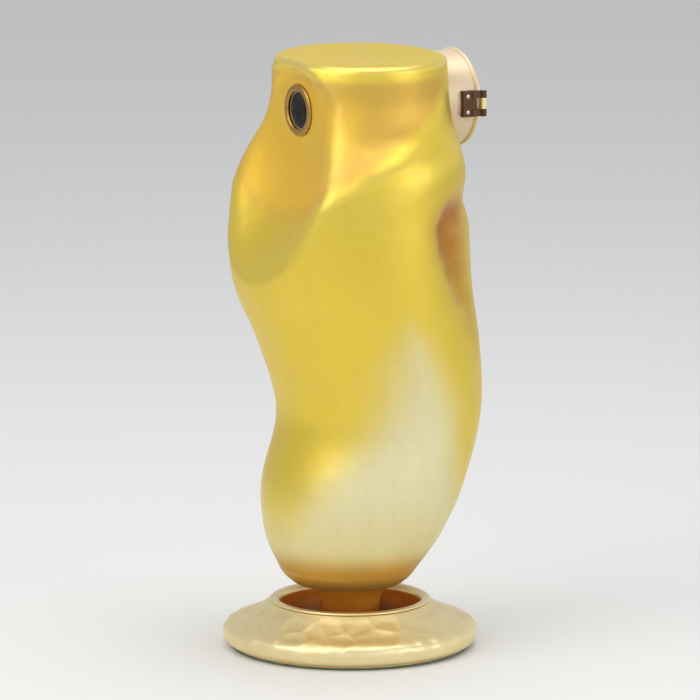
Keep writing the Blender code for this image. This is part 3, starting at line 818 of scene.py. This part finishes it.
def port_pieces():
    neck = soft_lathe([(62, 160), (64.4, 159.5), (65.5, 157.5), (64.4, 155.3), (62, 154), (62, 95.3),
                       (59, 95.3), (59, 146), (52, 152), (52, 160)], 1.2, 200, **HEAD_AXIS)
    piece("port_collar", neck, FINISHES["cream_satin"], "body", ["port_neck"])

    panel = [(0, 163.3), (46, 163.3), (48, 162.5), (50, 163.3), (60, 163.3), (60, 160.3), (0, 160.3)]
    door = gathered(
        soft_lathe(panel, 0.6, 200, **HEAD_AXIS),
        soft_block((52, 160.4, 712.9), (66.5, 163.2, 727.1), 0.5),
        barrel(4.2, 2.3, 712.8, 727.2, DOOR_PIN))
    piece("port_door", door, SPUN_GILDING, "rear_door", ["rear_door"])
    piece("door_plug", soft_lathe([(0, 160), (50, 160), (50, 155), (0, 155)], 1.2, 160, **HEAD_AXIS),
          FINISHES["cream_satin"], "rear_door", ["door_liner"])
    knob_path = smooth_path(((0.01, 181), (5, 180.4), (8.4, 177.6), (9.2, 174), (7.6, 170.4), (4.2, 168.2),
                             (4.2, 166.2), (7, 165), (7, 163.6)), 0.7)
    piece("port_knob", lathe([(0, 181)] + knob_path + [(0, 163.6)], 64, axis="Y", centre=(-40, 0, HEAD_Z)),
          SPUN_GILDING, "rear_door", ["door_knob"])
    screws = gathered(*(slotted_screw(2.5, 0.9, (68.55, 138.5, z)) for z in (709.5, 730.5)))
    piece("leaf_screws", screws, FINISHES["bright_steel"], "body", [])
    piece("port_pin", upright(1.9, 701.5, 738.5, DOOR_PIN), FINISHES["bright_steel"], "body", ["hinge_pin"])
    for name, node, body, low, high in (("magnet_face", "catch_magnet", "body", 156.3, 159.9),
                                        ("strike_plate", "catch_plate", "rear_door", 160.4, 161.5)):
        disc = soft_lathe([(0, high), (4, high), (4, low), (0, low)], 0.3, 40, axis="Y",
                          centre=(-57, 0, HEAD_Z))
        piece(name, disc, FINISHES["bright_steel"], body, [node])


# ---- frame pieces that keep their shape ------------------------------------------------------------------
def dress_frame():
    """Give every frame node its finish, and soften the edges of those that still show."""
    slots = {row["node"]: row["material_slot"] for row in frame["record"]["subparts"]}
    for name, node in frame["nodes"].items():
        node.data.materials.clear()
        node.data.materials.append(FINISHES[slots[name]])
        if node.hide_render:
            continue
        weld = node.modifiers.new("weld", "WELD")
        weld.merge_threshold = 0.01 * MM
        edge = node.modifiers.new("soft_edge", "BEVEL")
        edge.width = 0.4 * MM
        edge.segments = 3
        edge.limit_method = "ANGLE"
        edge.angle_limit = math.radians(45)


# ---- stage ------------------------------------------------------------------------------------------------
def soft_light(name, spot, size, power, colour=(1, 1, 1)):
    """A round lamp that faces the middle of the object."""
    lamp = bpy.data.lights.new(name, "AREA")
    lamp.shape = "DISK"
    lamp.size = size
    lamp.energy = power
    lamp.color = colour
    made = bpy.data.objects.new(name, lamp)
    made.location = spot
    made.rotation_euler = (Vector((0, 0, 0.42)) - Vector(spot)).to_track_quat("-Z", "Y").to_euler()
    bpy.context.scene.collection.objects.link(made)


def stage():
    """A wide pale floor, a soft sky that is brighter on one side, and three soft lamps."""
    shape = bmesh.new()
    bmesh.ops.create_grid(shape, x_segments=1, y_segments=1, size=60.0)
    mesh = bpy.data.meshes.new("floor")
    shape.to_mesh(mesh)
    shape.free()
    mesh.materials.append(Finish("pale_floor", (0.74, 0.735, 0.725), 0.6).material)
    floor = bpy.data.objects.new("floor", mesh)
    floor.location.z = -0.3 * MM
    bpy.context.scene.collection.objects.link(floor)

    world = bpy.data.worlds.new("studio")
    world.use_nodes = True
    sky = Board(world.node_tree)
    air = world.node_tree.nodes["Background"]
    toward = sky.node("ShaderNodeTexCoord", {}, {}, "Generated")
    along = {"operation": "DOT_PRODUCT"}
    aside = sky.node("ShaderNodeVectorMath", along, {0: toward, 1: (0.94, 0.34, 0.0)}, "Value")
    above = sky.node("ShaderNodeVectorMath", along, {0: toward, 1: (0.0, 0.0, 1.0)}, "Value")
    air.inputs["Color"].default_value = (0.95, 0.97, 1.0, 1)
    glow = (0.66 + 0.3 * aside.between(-0.9, 0.9)) * (1.0 - 0.3 * above.between(0.1, 0.9))
    sky.feed(air.inputs["Strength"], glow)
    bpy.context.scene.world = world
    soft_light("key", (0.4, -3.0, 3.0), 3.6, 62, (1.0, 0.97, 0.92))
    soft_light("fill", (3.2, 1.6, 1.5), 2.6, 18, (0.97, 0.98, 1.0))
    soft_light("top", (0.0, 0.3, 4.0), 3.0, 70)


def camera():
    """A long lens a good way off, 60 degrees round from the front and a little above the crown."""
    lens = bpy.data.cameras.new("camera")
    lens.lens = 385
    made = bpy.data.objects.new("camera", lens)
    made.location = (8.37, -4.83, 2.24)
    aim = Vector((0.0, 0.0, 0.395)) - made.location
    made.rotation_euler = aim.to_track_quat("-Z", "Y").to_euler()
    bpy.context.scene.collection.objects.link(made)
    bpy.context.scene.camera = made


raised_body()
foot_pieces()
window_pieces()
rails()
luna_pieces()
port_pieces()
dress_frame()
stage()
camera()
bpy.context.scene.view_settings.view_transform = "Standard"
